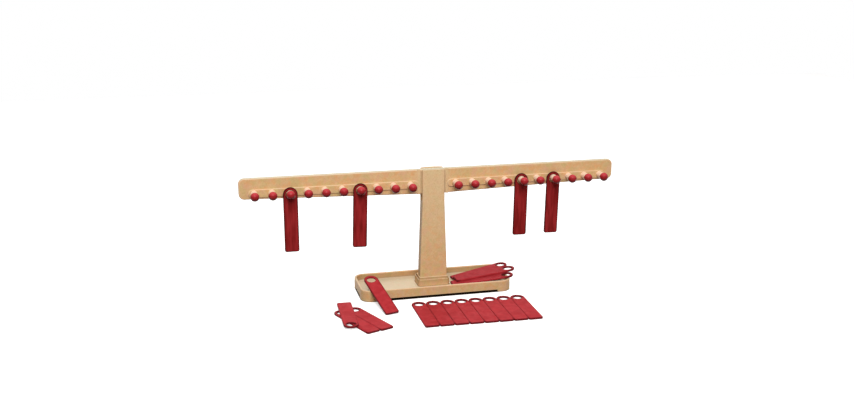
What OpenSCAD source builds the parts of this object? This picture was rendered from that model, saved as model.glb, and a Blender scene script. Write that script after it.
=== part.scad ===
// Balance scale toy: a beam with ten pegs on each arm, tilting in the slotted head of a column
// that stands in a shallow two-part tray, and the flat weights that hang on the pegs.
// +X along the beam to the right, +Y to the back, +Z up, and z = 0 on the table.
// The origin is on the table under the middle of the tray.

/* [Tray] */
// Length of the tray along X
tray_w = 263; // [240:1:320]
// Depth of the tray along Y
tray_d = 94; // [80:1:120]
// Height of the tray's rim above the table
tray_h = 19.3; // [17:0.1:26]
// Radius of the tray's upright corners
tray_corner_r = 18; // [8:0.5:26]
// Thickness of the tray's walls
tray_wall = 3.5; // [2:0.1:5]
// Height of the compartments' floor above the table
floor_z = 9.8; // [8:0.1:12]
// Thickness of the compartments' floor
floor_t = 1.8; // [1:0.1:3]
// Height of the four corner feet
foot_h = 3.8; // [1:0.1:5]
// Length of each corner foot along the walls
foot_len = 25.7; // [16:0.1:36]
// Thickness of the ribs under the floor
rib_t = 1.6; // [1:0.1:3]
// Place of the long ribs, as a share of the half depth
rib_y_share = 0.56; // [0.5:0.01:0.8]
// Place of the cross ribs, as a share of the half length
rib_x_share = 0.54; // [0.3:0.01:0.8]

/* [Plinth] */
// Outer length of the raised socket along X
plinth_w = 55; // [54:0.5:62]
// Outer depth of the raised socket along Y
plinth_d = 37.5; // [34:0.5:46]
// Height of the socket's rim above the table
plinth_h = 22; // [21:0.1:30]
// Radius of the socket's upright corners
plinth_corner_r = 6; // [4:0.5:10]
// Width of the socket's rim
plinth_rim = 1.8; // [1:0.1:2.2]
// Depth from the rim down to the face that the column stands on
socket_depth = 6; // [4:0.1:7]
// Thickness of the socket's floor
socket_floor_t = 3; // [2:0.1:4]

/* [Column] */
// Height of the column's top above the table
column_h = 215; // [195:1:260]
// Width of the column's upright head
head_w = 38.8; // [32:0.1:41]
// Width of the column at its foot
foot_w = 48.6; // [43:0.1:49]
// Height of the upright head
head_h = 57; // [50:0.5:70]
// Depth of the open slot that the beam lies in, from the top
slot_depth = 55; // [46:0.5:65]
// Distance from the pivot plane to the flat front face
front_reach = 12.5; // [12:0.1:14]
// Distance from the pivot plane to the back's highest line
back_reach = 10; // [9.5:0.1:12]
// Radius of the bowed back
back_r = 46; // [42:1:80]
// Distance from the pivot plane to the seam of shell and cover
seam_y = 2; // [1:0.1:2.5]
// Thickness of the front wall
front_wall = 2.8; // [2:0.1:3]
// Thickness of the other walls
side_wall = 2.6; // [1.6:0.1:3]
// How far the foot flange stands out at the sides
flange_side = 0.8; // [0.4:0.1:1]
// How far the foot flange stands out at the front and back
flange_front = 2; // [0.5:0.1:2.5]
// Height of the foot flange
flange_h = 3.5; // [2:0.1:5]

/* [Pivot] */
// Depth of the pivot's axis below the column's top
pivot_drop = 12; // [10:0.1:16]
// Diameter of the steel pin
pin_d = 4; // [3:0.1:5]
// Diameter of the beam's hub
hub_d = 17; // [14:0.5:20]
// Diameter of the boss behind the front wall
pin_boss_d = 12; // [8:0.5:14]
// Length of the boss behind the front wall
pin_boss_len = 3.2; // [2:0.1:3.4]
// Depth of the pin's hole in the front wall and boss
pin_grip = 4.8; // [3.5:0.1:4.9]
// Radial gap between the pin and the hub's bore
running_gap = 0.05; // [0.02:0.01:0.1]
// Gap at each end of the hub
hub_gap = 0.3; // [0.2:0.05:0.6]

/* [Beam] */
// Distance from the last peg to the beam's end
beam_end_margin = 24.5; // [22:0.5:40]
// Thickness of the beam
beam_t = 8; // [7:0.1:8.4]
// Distance from the pivot plane to the beam's back face
beam_back = 3; // [2.5:0.1:3.2]
// Height of the beam at its ends
beam_end_h = 35.7; // [32:0.1:42]
// Height of the beam at the column
beam_mid_h = 43.3; // [40:0.1:46]
// How far the beam's top edge lies below the column's top
beam_sink = 0.5; // [0:0.1:2]
// Length of the untapered stretch at each end
beam_end_len = 25; // [15:1:40]
// Radius of the beam's end corners
beam_corner_r = 9.5; // [4:0.5:12]
// Distance from the middle to the start of the taper
taper_x = 25; // [22:0.5:30]
// How far the raised rail stands proud of the beam
rail_proud = 2; // [1:0.1:2.4]
// Height of the raised rail
rail_h = 14; // [12:0.5:18]
// Distance from the beam's end to the rail's end
rail_end_gap = 15; // [10:0.5:17]
// Distance from the middle to the collar rib beside the column
collar_x = 21.5; // [20.8:0.1:22]
// Width of the collar rib
collar_w = 5.5; // [3:0.1:6]
// How far the collar rib stands proud
collar_proud = 1.2; // [0.6:0.1:1.6]

/* [Pegs] */
// Pegs on each arm
peg_count = 10; // [8:1:12]
// Distance between neighbouring pegs
peg_pitch = 29; // [28.6:0.1:29.4]
// Distance from the middle to the first peg
first_peg_x = 39.5; // [37:0.1:42]
// Height of the pegs' axis below the beam's top edge
peg_drop = 25.7; // [22:0.1:27]
// Diameter of the stem
stem_d = 11.4; // [8:0.1:12]
// Length of the stem in front of the rail
stem_len = 16.3; // [16:0.1:20]
// Diameter of the ball on the stem
ball_d = 14.6; // [13:0.1:16]
// Diameter of the stem's root in the beam
root_d = 6; // [4:0.1:7]
// Length of the stem's root in the rail and beam
root_len = 7.8; // [5:0.1:8.4]
// Diameter of the stem's tip in the ball
tip_d = 5; // [3:0.1:6]
// Length of the stem's tip in the ball
tip_len = 5; // [3:0.1:6]
// Radial gap of the glued roots and tips
glue_gap = 0.05; // [0.02:0.01:0.1]

/* [Weights] */
// Width of a weight
plate_w = 24; // [22:0.1:25]
// Distance from a weight's square end to the hole's centre
plate_reach = 98; // [90:0.5:100]
// Thickness of a weight
plate_t = 3; // [2:0.1:3.4]
// Diameter of a weight's hole
hole_d = 15; // [13:0.1:17]
// Radius of the corners of a weight's square end
plate_corner_r = 2.6; // [0.5:0.1:4]
// Gap between a hanging weight and the top of its stem
hang_gap = 0.3; // [0.2:0.05:0.5]
// Gap between loose weights that lie side by side
side_gap = 0.3; // [0.2:0.05:1]
// Gap under a loose weight that rests on an edge of the tray
rest_gap = 0.2; // [0.1:0.05:0.4]

/* [Screws] */
// Diameter of the screws' shanks
screw_d = 3; // [2.4:0.1:3.4]
// Diameter of the screws' heads
screw_head_d = 6; // [5:0.1:6.4]
// Height of the screws' heads
screw_head_h = 2; // [1.4:0.1:2.4]
// Length of the shanks of the two cover screws
cover_screw_len = 14; // [10:0.5:15]
// Length of the shanks of the two screws under the tray
base_screw_len = 15; // [10:0.5:18]
// Width of the cross slots in the heads
drive_w = 0.9; // [0.6:0.1:1.2]
// Depth of the cross slots in the heads
drive_deep = 1.2; // [0.6:0.1:1.3]

/* [Hidden] */
$fn = 64;
overrun = 1;
fit_gap = 0.05;
screw_clear = 0.2;
hub_land = 0.9;
tan_board = "#CFA678";
red = "#B5383C";
pale = "#EEC8A5";
steel = "#B8BBC0";

// Tray and plinth
floor_under = floor_z - floor_t;
inner_w = tray_w - 2 * tray_wall;
inner_d = tray_d - 2 * tray_wall;
inner_corner_r = tray_corner_r - tray_wall;
socket_z = plinth_h - socket_depth;
socket_under = socket_z - socket_floor_t;
socket_w = plinth_w - 2 * plinth_rim;
socket_d = plinth_d - 2 * plinth_rim;
socket_corner_r = plinth_corner_r - plinth_rim;
base_screw_x_share = 0.25;
base_screw_y_share = 0.3;
base_screw_x = base_screw_x_share * foot_w;
base_screw_y = -base_screw_y_share * front_reach;

// Column
front_y = -front_reach;
front_inner = front_y + front_wall;
bow_y = back_reach - back_r;
slot_z = column_h - slot_depth;
sill_z = slot_z - side_wall;
shoulder_z = column_h - head_h;
shell_floor_z = socket_z + side_wall;
cover_face = beam_back + hub_land + hub_gap;
column_boss_wall = 2;
column_boss_d = screw_d + 2 * column_boss_wall;
cover_boss_d = screw_head_d + 2 * side_wall;
base_boss_top = socket_under + base_screw_len + side_wall;
column_span = sill_z - shell_floor_z;
cover_screw_shares = [0.25, 0.8];
cover_screw_zs = [for (share = cover_screw_shares) shell_floor_z + share * column_span];
head_seat = back_reach - screw_head_h - 2 * screw_clear;
boss_pilot_end = head_seat - cover_screw_len - screw_clear;

// Pivot
pivot_z = column_h - pivot_drop;
boss_face = front_inner + pin_boss_len;
hub_front = boss_face + hub_gap;
hub_back = beam_back + hub_land;
pin_front = boss_face - pin_grip + fit_gap;
pin_back = cover_face + pin_grip - fit_gap;

// Beam
beam_front = beam_back - beam_t;
beam_top = column_h - beam_sink;
beam_end_bottom = beam_top - beam_end_h;
beam_mid_bottom = beam_top - beam_mid_h;
half_len = first_peg_x + (peg_count - 1) * peg_pitch + beam_end_margin;
rail_front = beam_front - rail_proud;
rail_outer = half_len - rail_end_gap;
peg_z = beam_top - peg_drop;
stem_end = rail_front - stem_len;
ball_land_share = 0.94;
ball_flat = sqrt(pow(ball_d / 2, 2) - pow(ball_land_share * stem_d / 2, 2));
ball_y = stem_end - ball_flat;

// Weights that hang on the pegs: peg, place along the stem, swing of the lower end to the left
hang_drop = (hole_d - stem_d) / 2 - hang_gap;
outer_line_share = 0.67;
inner_line_share = 0.25;
outer_line = rail_front - outer_line_share * stem_len;
inner_line = rail_front - inner_line_share * stem_len;

// Weights that lie in a row in front of the tray, with their square ends forward
row_count = 8;
row_start_x = -42.2;
row_gap = 35.3;
row_start = [row_start_x, -tray_d / 2 - row_gap];
row_slope = -1.8;
row_heading = 0.2;

// Weights that lie crossed at the left, placed from the tray's front left corner
pile_out = 41.9;
pile_forward = 43.6;
pile_start = [-tray_w / 2 - pile_out, -tray_d / 2 - pile_forward];
pile_heading = 22.5;
pile_shift = 1.6;
pile_top_out = 35.9;
pile_top_forward = 104;
pile_top_place = [-tray_w / 2 - pile_top_out, -tray_d / 2 - pile_top_forward];
pile_top_heading = 177.8;

// Weight that leans over the tray's front wall, with one corner on the table
lean_inset = 27.1;
lean_x = -tray_w / 2 + lean_inset;
lean_angle = 16.1;
lean_turn = 10.8;
lean_y = -tray_d / 2 - tray_h / tan(lean_angle);

// Weights fanned out in the right compartment: two rest on its floor and outer wall, one lies across both.
// Each place is a hole's centre, a distance past the resting edge and one from the front or back wall.
fan_lip = 4.5;
fan_edge_x = inner_w / 2 - fan_lip;
fan_foot_gap = 1.2;
fan_foot_x = plinth_w / 2 + fan_foot_gap;
fan_slope = atan((tray_h - floor_z) / (fan_edge_x - fan_foot_x));
fan_front_out = 3.7;
fan_front_in = 17.9;
fan_front_place = [fan_edge_x + fan_front_out, -inner_d / 2 + fan_front_in];
fan_front_heading = -91;
fan_back_out = 8.9;
fan_back_in = 16.3;
fan_back_place = [fan_edge_x + fan_back_out, inner_d / 2 - fan_back_in];
fan_back_heading = -75.2;
fan_top_out = 13.1;
fan_top_in = 38.9;
fan_top_place = [fan_edge_x + fan_top_out, -inner_d / 2 + fan_top_in];
fan_top_heading = -87;

function peg_x(i) = first_peg_x + (i - 1) * peg_pitch;

// Rectangle with round corners, centred
module rounded_rect(w, d, r) {
    square([w - 2 * r, d], center = true);
    square([w, d - 2 * r], center = true);
    for (x = [-1, 1], y = [-1, 1])
        translate([x * (w / 2 - r), y * (d / 2 - r)])
            circle(r);
}

// Upright prism between two heights
module upright(z0, z1) {
    translate([0, 0, z0])
        linear_extrude(z1 - z0)
            children();
}

// Prism of a front-view outline between two places along Y
module along_y(y0, y1) {
    translate([0, y1, 0])
        rotate([90, 0, 0])
            linear_extrude(y1 - y0)
                children();
}

// Round bar along Y at a place in the front view
module bar_y(x, z, d, y0, y1) {
    along_y(y0, y1)
        translate([x, z])
            circle(d / 2);
}

// Cross slots of a screw's head, in a block that is cut from the head
module cross_slots(deep) {
    upright(-deep, overrun) {
        square([2 * drive_w + screw_d, drive_w], center = true);
        square([drive_w, 2 * drive_w + screw_d], center = true);
    }
}

// Screw with its head's top face at z = 0 and its shank pointing down
module screw(len) {
    difference() {
        union() {
            upright(-screw_head_h, 0)
                circle(screw_head_d / 2);
            upright(-screw_head_h - len, -screw_head_h)
                circle(screw_d / 2);
        }
        cross_slots(drive_deep);
    }
}

// Ribs under the tray's floor, left standing when the hollow is cut
module tray_ribs() {
    for (side = [-1, 1]) {
        translate([-inner_w / 2, side * rib_y_share * tray_d / 2 - rib_t / 2, foot_h])
            cube([inner_w, rib_t, floor_under - foot_h]);
        translate([side * rib_x_share * tray_w / 2 - rib_t / 2, -inner_d / 2, foot_h])
            cube([rib_t, inner_d, floor_under - foot_h]);
    }
}

// Openings in the walls' lower edge that leave the four corner feet
module foot_gaps() {
    gap_w = tray_w - 2 * foot_len;
    gap_d = tray_d - 2 * foot_len;
    upright(-overrun, foot_h) {
        square([gap_w, tray_d + 2 * overrun], center = true);
        square([tray_w + 2 * overrun, gap_d], center = true);
    }
}

module tray_base() {
    color(tan_board)
        difference() {
            union() {
                difference() {
                    upright(0, tray_h)
                        rounded_rect(tray_w, tray_d, tray_corner_r);
                    upright(floor_z, tray_h + overrun)
                        rounded_rect(inner_w, inner_d, inner_corner_r);
                }
                upright(floor_under, plinth_h)
                    rounded_rect(plinth_w, plinth_d, plinth_corner_r);
            }
            difference() {
                upright(-overrun, floor_under)
                    rounded_rect(inner_w, inner_d, inner_corner_r);
                tray_ribs();
            }
            upright(floor_under - overrun, socket_under)
                rounded_rect(socket_w, socket_d, socket_corner_r);
            upright(socket_z, plinth_h + overrun)
                rounded_rect(socket_w, socket_d, socket_corner_r);
            foot_gaps();
            for (x = [-base_screw_x, base_screw_x])
                translate([x, base_screw_y, 0])
                    upright(socket_under - overrun, socket_z + overrun)
                        circle(screw_d / 2 + screw_clear);
        }
}

// Front view of the column, with its sides drawn in by inset
module column_face(inset, z0, z1) {
    head = head_w / 2 - inset;
    foot = foot_w / 2 - inset;
    lean = (foot - head) / (shoulder_z - socket_z);
    polygon([
        [-foot + lean * (z0 - socket_z), z0],
        [foot - lean * (z0 - socket_z), z0],
        [head, shoulder_z],
        [head, z1],
        [-head, z1],
        [-head, shoulder_z]
    ]);
}

// Block within the bowed back, between two heights, with the bow drawn in by inset
module bow(inset, z0, z1) {
    upright(z0, z1)
        translate([0, bow_y])
            circle(back_r - inset, $fn = 180);
}

// Half of the foot flange between two places along Y
module flange(y0, y1) {
    w = foot_w + 2 * flange_side;
    translate([-w / 2, y0, socket_z])
        cube([w, y1 - y0, flange_h]);
}

module column_front_shell() {
    color(tan_board)
        difference() {
            union() {
                difference() {
                    along_y(front_y, seam_y)
                        column_face(0, socket_z, column_h);
                    along_y(front_inner, seam_y + overrun)
                        intersection() {
                            column_face(side_wall, socket_z, column_h);
                            translate([-foot_w / 2, shell_floor_z])
                                square([foot_w, column_span]);
                        }
                    translate([-head_w, front_inner, slot_z])
                        cube([2 * head_w, seam_y - front_inner + overrun, slot_depth + overrun]);
                }
                difference() {
                    flange(front_y - flange_front, seam_y);
                    along_y(front_inner, seam_y + overrun)
                        column_face(side_wall, shell_floor_z, column_h);
                }
                for (z = cover_screw_zs)
                    bar_y(0, z, column_boss_d, front_inner - fit_gap, seam_y);
                for (x = [-base_screw_x, base_screw_x])
                    translate([x, base_screw_y, 0])
                        upright(shell_floor_z - fit_gap, base_boss_top)
                            circle(column_boss_d / 2);
                bar_y(0, pivot_z, pin_boss_d, front_inner - fit_gap, boss_face);
            }
            for (z = cover_screw_zs)
                bar_y(0, z, screw_d + 2 * fit_gap, boss_pilot_end, seam_y + overrun);
            for (x = [-base_screw_x, base_screw_x])
                translate([x, base_screw_y, 0])
                    upright(socket_z - overrun, base_boss_top - side_wall + screw_clear)
                        circle(screw_d / 2 + fit_gap);
            bar_y(0, pivot_z, pin_d, boss_face - pin_grip, boss_face + overrun);
        }
}

module column_rear_cover() {
    color(tan_board)
        difference() {
            union() {
                difference() {
                    intersection() {
                        along_y(seam_y, back_reach + overrun)
                            column_face(0, socket_z, column_h);
                        bow(0, socket_z, column_h);
                    }
                    intersection() {
                        along_y(seam_y - overrun, back_reach + overrun)
                            column_face(side_wall, shell_floor_z, sill_z);
                        bow(side_wall, shell_floor_z, sill_z);
                    }
                    translate([-head_w, seam_y - overrun, slot_z])
                        cube([2 * head_w, cover_face - seam_y + overrun, slot_depth + overrun]);
                }
                difference() {
                    flange(seam_y, back_reach + flange_front);
                    intersection() {
                        along_y(seam_y - overrun, back_reach + overrun)
                            column_face(side_wall, shell_floor_z, sill_z);
                        bow(side_wall, shell_floor_z, sill_z);
                    }
                }
                intersection() {
                    for (z = cover_screw_zs)
                        bar_y(0, z, cover_boss_d, seam_y, back_reach);
                    bow(0, socket_z, column_h);
                }
            }
            for (z = cover_screw_zs) {
                bar_y(0, z, screw_d + 2 * screw_clear, seam_y - overrun, back_reach + overrun);
                bar_y(0, z, screw_head_d + 2 * screw_clear, head_seat, back_reach + overrun);
            }
            bar_y(0, pivot_z, pin_d, cover_face - overrun, cover_face + pin_grip);
        }
}

module pivot_pin() {
    color(steel)
        bar_y(0, pivot_z, pin_d, pin_front, pin_back);
}

module cover_screws() {
    color(steel)
        for (z = cover_screw_zs)
            translate([0, head_seat + screw_head_h, z])
                rotate([-90, 0, 0])
                    screw(cover_screw_len);
}

module base_screws() {
    color(steel)
        for (x = [-base_screw_x, base_screw_x])
            translate([x, base_screw_y, socket_under - screw_head_h])
                rotate([180, 0, 0])
                    screw(base_screw_len);
}

// Front view of the beam
module beam_face() {
    end_x = half_len - beam_corner_r;
    polygon([
        [-end_x, beam_top],
        [-end_x, beam_end_bottom],
        [-half_len + beam_end_len, beam_end_bottom],
        [-taper_x, beam_mid_bottom],
        [taper_x, beam_mid_bottom],
        [half_len - beam_end_len, beam_end_bottom],
        [end_x, beam_end_bottom],
        [end_x, beam_top]
    ]);
    translate([0, (beam_top + beam_end_bottom) / 2])
        rounded_rect(2 * half_len, beam_end_h, beam_corner_r);
}

// Rail with round ends on one arm
module rail_face(side) {
    straight = rail_outer - taper_x - rail_h;
    translate([side * (taper_x + rail_outer) / 2, peg_z]) {
        square([straight, rail_h], center = true);
        for (x = [-straight / 2, straight / 2])
            translate([x, 0])
                circle(rail_h / 2);
    }
}

module beam() {
    color(tan_board)
        difference() {
            union() {
                along_y(beam_front, beam_back)
                    beam_face();
                for (side = [-1, 1]) {
                    along_y(rail_front, beam_front + fit_gap)
                        rail_face(side);
                    along_y(beam_front - collar_proud, beam_front + fit_gap)
                        translate([side * (collar_x + collar_w / 2), beam_top - beam_mid_h / 2])
                            square([collar_w, beam_mid_h], center = true);
                }
                bar_y(0, pivot_z, hub_d, hub_front, hub_back);
            }
            bar_y(0, pivot_z, pin_d + 2 * running_gap, hub_front - overrun, hub_back + overrun);
            for (side = [-1, 1], i = [1 : peg_count])
                bar_y(side * peg_x(i), peg_z, root_d, rail_front - overrun, rail_front + root_len + glue_gap);
        }
}

// The ten stems of one arm, each with a root in the beam and a tip in its ball
module peg_stems(side) {
    color(pale)
        for (i = [1 : peg_count]) {
            x = side * peg_x(i);
            bar_y(x, peg_z, stem_d, stem_end, rail_front);
            bar_y(x, peg_z, root_d - 2 * glue_gap, rail_front - fit_gap, rail_front + root_len);
            bar_y(x, peg_z, tip_d, stem_end - tip_len, stem_end + fit_gap);
        }
}

// Half of a ball's section beside its axis, with the flat and the hole for the stem's tip at the top
module ball_section() {
    difference() {
        intersection() {
            circle(ball_d / 2);
            translate([0, -ball_d])
                square([ball_d, ball_d + ball_flat]);
        }
        translate([0, ball_flat - tip_len - glue_gap])
            square([tip_d / 2 + glue_gap, ball_d]);
    }
}

module ball(side, i) {
    color(red)
        translate([side * peg_x(i), ball_y, peg_z])
            rotate([-90, 0, 0])
                rotate_extrude()
                    ball_section();
}

// Weight lying flat: the hole's axis is Z, and the plate runs from the round end towards -Y
module plate() {
    color(red)
        upright(0, plate_t)
            difference() {
                union() {
                    circle(plate_w / 2);
                    translate([-plate_w / 2, -plate_reach + plate_corner_r])
                        square([plate_w, plate_reach - plate_corner_r]);
                    translate([0, -plate_reach + plate_w / 2])
                        rounded_rect(plate_w, plate_w, plate_corner_r);
                }
                circle(hole_d / 2);
            }
}

// Weight on the stem of one peg, with its lower end swung to the left by an angle
module hanging_plate(x, y, swing) {
    translate([x, y + plate_t / 2, peg_z])
        rotate([0, swing, 0])
            translate([0, 0, -hang_drop])
                rotate([90, 0, 0])
                    plate();
}

// Weight flat on the table or on others, its hole's centre at a place
module lying_plate(place, z, heading) {
    translate([place[0], place[1], z])
        rotate([0, 0, heading])
            plate();
}

module row_plate(i) {
    step = (plate_w + side_gap) / cos(row_slope - row_heading);
    place = row_start + (i - 1) * step * [cos(row_slope), sin(row_slope)];
    lying_plate(place, 0, row_heading);
}

module pile_right_plate() {
    across = (plate_w + side_gap) * [cos(pile_heading), sin(pile_heading)];
    forward = pile_shift * [sin(pile_heading), -cos(pile_heading)];
    lying_plate(pile_start + across + forward, 0, pile_heading);
}

module leaning_plate() {
    translate([lean_x, lean_y, rest_gap])
        rotate([lean_angle, 0, 0])
            rotate([0, 0, lean_turn])
                translate([plate_w / 2, plate_reach, 0])
                    plate();
}

// Weight in the sloping stack, a number of thicknesses above the lowest one
module fan_plate(place, level, heading) {
    translate([fan_edge_x, 0, tray_h + rest_gap])
        rotate([0, -fan_slope, 0])
            translate([place[0] - fan_edge_x, place[1], level * plate_t])
                rotate([0, 0, heading])
                    plate();
}

tray_base();
column_front_shell();
column_rear_cover();
pivot_pin();
cover_screws();
base_screws();
beam();
peg_stems(-1);  // peg_stems_left
peg_stems(1);  // peg_stems_right
for (i = [1 : peg_count]) {
    ball(-1, i);
    ball(1, i);
}
hanging_plate(-peg_x(8), outer_line, 0);  // weight_hanging_left_8
hanging_plate(-peg_x(4), outer_line, 1.6);  // weight_hanging_left_4
hanging_plate(peg_x(5), inner_line, 1);  // weight_hanging_right_5
hanging_plate(peg_x(7), inner_line, 1.4);  // weight_hanging_right_7
for (i = [1 : row_count]) {
    row_plate(i);
}
lying_plate(pile_start, 0, pile_heading);  // weight_pile_left
pile_right_plate();  // weight_pile_right
lying_plate(pile_top_place, plate_t, pile_top_heading);  // weight_pile_top
leaning_plate();  // weight_leaning
fan_plate(fan_front_place, 0, fan_front_heading);  // weight_fan_front
fan_plate(fan_back_place, 0, fan_back_heading);  // weight_fan_back
fan_plate(fan_top_place, 1, fan_top_heading);  // weight_fan_top
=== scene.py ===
import math
import bmesh
import bpy
import numpy as np
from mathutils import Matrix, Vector

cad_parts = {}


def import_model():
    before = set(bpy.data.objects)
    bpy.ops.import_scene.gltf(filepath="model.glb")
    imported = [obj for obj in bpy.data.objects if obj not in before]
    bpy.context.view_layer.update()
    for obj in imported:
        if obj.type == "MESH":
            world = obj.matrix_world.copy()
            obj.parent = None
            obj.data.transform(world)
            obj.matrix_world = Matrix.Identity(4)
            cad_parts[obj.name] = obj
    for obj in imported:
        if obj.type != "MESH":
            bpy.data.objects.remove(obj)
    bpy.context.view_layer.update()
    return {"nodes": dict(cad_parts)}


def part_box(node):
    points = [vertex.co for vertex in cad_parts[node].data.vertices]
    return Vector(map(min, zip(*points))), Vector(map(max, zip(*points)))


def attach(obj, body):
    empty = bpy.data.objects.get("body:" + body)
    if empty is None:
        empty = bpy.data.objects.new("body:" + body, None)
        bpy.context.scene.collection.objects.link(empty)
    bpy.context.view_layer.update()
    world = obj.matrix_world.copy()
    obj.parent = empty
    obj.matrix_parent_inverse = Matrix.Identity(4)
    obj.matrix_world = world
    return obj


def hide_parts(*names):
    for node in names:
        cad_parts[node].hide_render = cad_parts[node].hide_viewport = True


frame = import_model()

# Lengths are in millimetres until a piece's mesh is made, and the frame's are turned to millimetres here
MM = 0.001
NEAR = 1e-6


def span(name):
    """Lowest and highest corner of a node of the frame, in millimetres."""
    low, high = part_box(name)
    return np.array(low) / MM, np.array(high) / MM


# Sizes from the frame
TRAY_LOW, TRAY_HIGH = span("tray_base")
BEAM_LOW, BEAM_HIGH = span("beam")
SHELL_LOW, SHELL_HIGH = span("column_front_shell")
PIN_LOW, PIN_HIGH = span("pivot_pin")
BALL_LOW, BALL_HIGH = span("ball_right_1")
NEXT_BALL_LOW = span("ball_right_2")[0]
STEMS_LOW, STEMS_HIGH = span("peg_stems_right")
ROW_LOW, ROW_HIGH = span("weight_row_1")

# Rounded edges: segments of an arc, and a point held just beside each end of it, which keeps the smooth
# shading of the arc off the flat faces
STEPS = 5
HOLD = 0.25
SMALL_HOLD = 0.1
EDGE_ROUND = 0.6
LEAST_R = 0.2
POLE_R = 0.01
SHARP_ANGLE = 32
# In metres, the distance within which points are merged
MERGE = 1e-7

# Tray
TRAY_W, TRAY_D = (TRAY_HIGH - TRAY_LOW)[:2]
RIM_Z = 19.3
PLINTH_Z = TRAY_HIGH[2]
TRAY_R = 18.0
WALL = 3.5
FLOOR_Z = 9.8
UNDER_Z = 8.0
FOOT_H = 3.8
FOOT_LEN = 25.7
FOOT_SLOPE = 1.4
FOOT_FADE = 2.0
RIM_ROUND = 1.5
FLOOR_ROUND = 2.0
RIB_T = 1.6
RIB_ROUND = 0.3
RIB_SINK = 0.3
RIB_REACH = 0.5
RIB_Y_SHARE = 0.56
RIB_X_SHARE = 0.54
PLINTH_W, PLINTH_D = 55.0, 37.5
PLINTH_R = 6.0
PLINTH_RIM = 1.8
PLINTH_ROUND = 0.8
PLINTH_FOOT_ROUND = 1.0
SOCKET_Z = SHELL_LOW[2]
SOCKET_UNDER = SOCKET_Z - 3.0

# Column
COLUMN_TOP = SHELL_HIGH[2]
HEAD_HALF = 19.4
FOOT_HALF = 24.3
SHOULDER_Z = COLUMN_TOP - 57.0
SHOULDER_BAND = 1.5
FRONT_Y = -12.5
FRONT_WALL = 2.8
SIDE_WALL = 2.6
INNER_TAPER = 0.96
SEAM_Y = 2.0
SLOT_Z = COLUMN_TOP - 55.0
CORNER_ROUND = 2.4
TOP_ROUND = 1.0
DRAFT = 0.4
PIVOT_Z = (PIN_LOW[2] + PIN_HIGH[2]) / 2
BOSS_R = 6.0
BOSS_LEN = 3.2
BOSS_ROUND = 0.5
BOSS_SINK = 0.2
FLANGE_HALF = SHELL_HIGH[0]
FLANGE_FRONT = SHELL_LOW[1]
FLANGE_R = 2.5
FLANGE_ROUND = 0.7
COVER_FLANGE_H = 3.5
COVER_ROUND = 0.6
COVER_SEGMENTS = 3
COVER_FLAT_ANGLE = 0.5
COVER_EDGE_ANGLE = 40
# The photo shows the flange above the socket's rim, so it stands higher than the frame's
FLANGE_TOP = 25.2

# Beam
HALF_LEN = BEAM_HIGH[0]
BEAM_TOP = BEAM_HIGH[2]
MID_BOTTOM = BEAM_LOW[2]
END_BOTTOM = BEAM_TOP - 35.7
BEAM_FRONT = -5.0
BEAM_BACK = 3.0
END_LEN = 25.0
END_R = 9.5
TAPER_X = 25.0
TAPER_R = 4.0
BEAM_ROUND = 2.2
RAIL_FRONT = BEAM_FRONT - 2.0
RAIL_H = 14.0
RAIL_OUTER = HALF_LEN - 15.0
RAIL_ROUND = 1.3
RAIL_SINK = 0.5
COLLAR_X = 21.5
COLLAR_W = 5.5
COLLAR_R = 0.8
COLLAR_PROUD = 1.2
COLLAR_SINK = 2.5
COLLAR_ROUND = 0.7
HUB_R = 8.5
HUB_FRONT = -6.2
HUB_BACK = BEAM_HIGH[1]
HUB_FRONT_ROUND = 0.5
HUB_BACK_ROUND = 0.4
BORE_R = 2.05
BORE_ROUND = 0.3

# Pegs
PEGS = 10
BALL_R = (BALL_HIGH[0] - BALL_LOW[0]) / 2
FIRST_PEG_X = (BALL_HIGH[0] + BALL_LOW[0]) / 2
PEG_PITCH = NEXT_BALL_LOW[0] - BALL_LOW[0]
PEG_Z = (BALL_HIGH[2] + BALL_LOW[2]) / 2
BALL_Y = BALL_LOW[1] + BALL_R
STEM_R = (STEMS_HIGH[2] - STEMS_LOW[2]) / 2
STEM_END = BALL_HIGH[1]
STEM_ROOT = STEMS_HIGH[1]
STEM_LEN = RAIL_FRONT - STEM_END
STEM_ROUND = 0.5
ROOT_R = 2.95
TIP_R = 2.5
TIP_END = STEMS_LOW[1]
TIP_GAP = 0.05

# Weights
PLATE_W = 24.0
PLATE_REACH = 98.0
PLATE_T = ROW_HIGH[2] - ROW_LOW[2]
PLATE_CORNER_R = 3.4
PLATE_ROUND = 0.7
PLATE_HOLD = 0.2
HOLE_R = 7.5
HALF_TURN_POINTS = 33
SIDE_GAP = 0.3
REST_GAP = 0.2

# Places of the weights, measured in the photo through the fitted camera
HANG_DROP = HOLE_R - STEM_R - 0.3
OUTER_LINE = RAIL_FRONT - 0.67 * STEM_LEN
INNER_LINE = RAIL_FRONT - 0.25 * STEM_LEN
# Weights on pegs: arm, its direction, peg, place along the stem and swing in degrees
HANGING = (("left", -1, 8, OUTER_LINE, 0),
           ("left", -1, 4, OUTER_LINE, 1.6),
           ("right", 1, 5, INNER_LINE, 1),
           ("right", 1, 7, INNER_LINE, 1.4))
ROW_START = np.array([-42.2, -TRAY_D / 2 - 35.3])
ROW_SLOPE = math.radians(-1.8)
ROW_HEADING = 0.2
ROW_COUNT = 8
PILE_START = np.array([-TRAY_W / 2 - 41.9, -TRAY_D / 2 - 43.6])
PILE_HEADING = 22.5
PILE_SHIFT = 1.6
PILE_TOP = np.array([-TRAY_W / 2 - 35.9, -TRAY_D / 2 - 104.0])
PILE_TOP_HEADING = 177.8
LEAN_X = -TRAY_W / 2 + 27.1
LEAN_ANGLE = 16.1
LEAN_TURN = 10.8
LEAN_Y = -TRAY_D / 2 - RIM_Z / math.tan(math.radians(LEAN_ANGLE))
FAN_EDGE_X = TRAY_W / 2 - WALL - 4.5
FAN_FOOT_X = PLINTH_W / 2 + 1.2
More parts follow.
